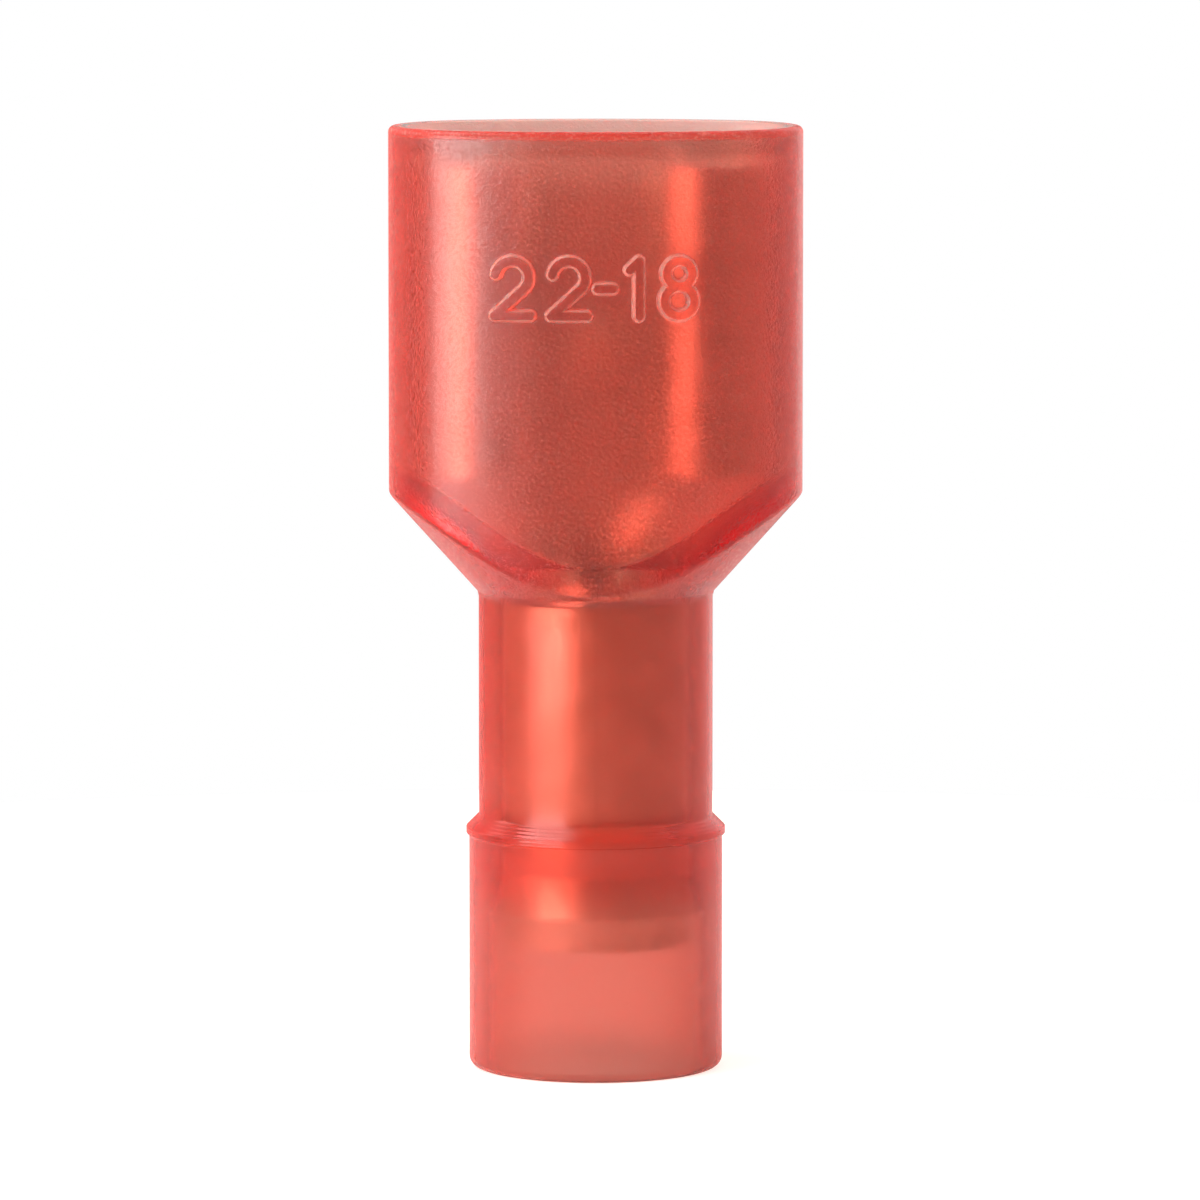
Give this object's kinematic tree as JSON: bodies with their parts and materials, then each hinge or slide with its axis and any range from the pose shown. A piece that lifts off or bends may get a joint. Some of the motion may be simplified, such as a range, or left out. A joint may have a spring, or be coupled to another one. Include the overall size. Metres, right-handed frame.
{
  "type": "female spade terminal",
  "caption": "Fully insulated female spade terminal: an oval bell round a rolled receptacle, with a round crimp neck and wire entry.",
  "frame": {"origin": "centre of the wire end face, on the wire axis", "axes": "+Z along the wire axis towards the mouth for the tab, -Y towards the rolled curls, X across the wide side of the bell"},
  "size_m": [0.0096, 0.006, 0.022],
  "materials": {
    "nylon": "clear red moulded nylon",
    "tinned_brass": "tin plated",
    "tinned_sleeve": "tin plated"
  },
  "bodies": {
    "root": {"insulator_housing": "nylon", "terminal": "tinned_brass", "crimp_sleeve": "tinned_sleeve"}
  },
  "joints": []
}
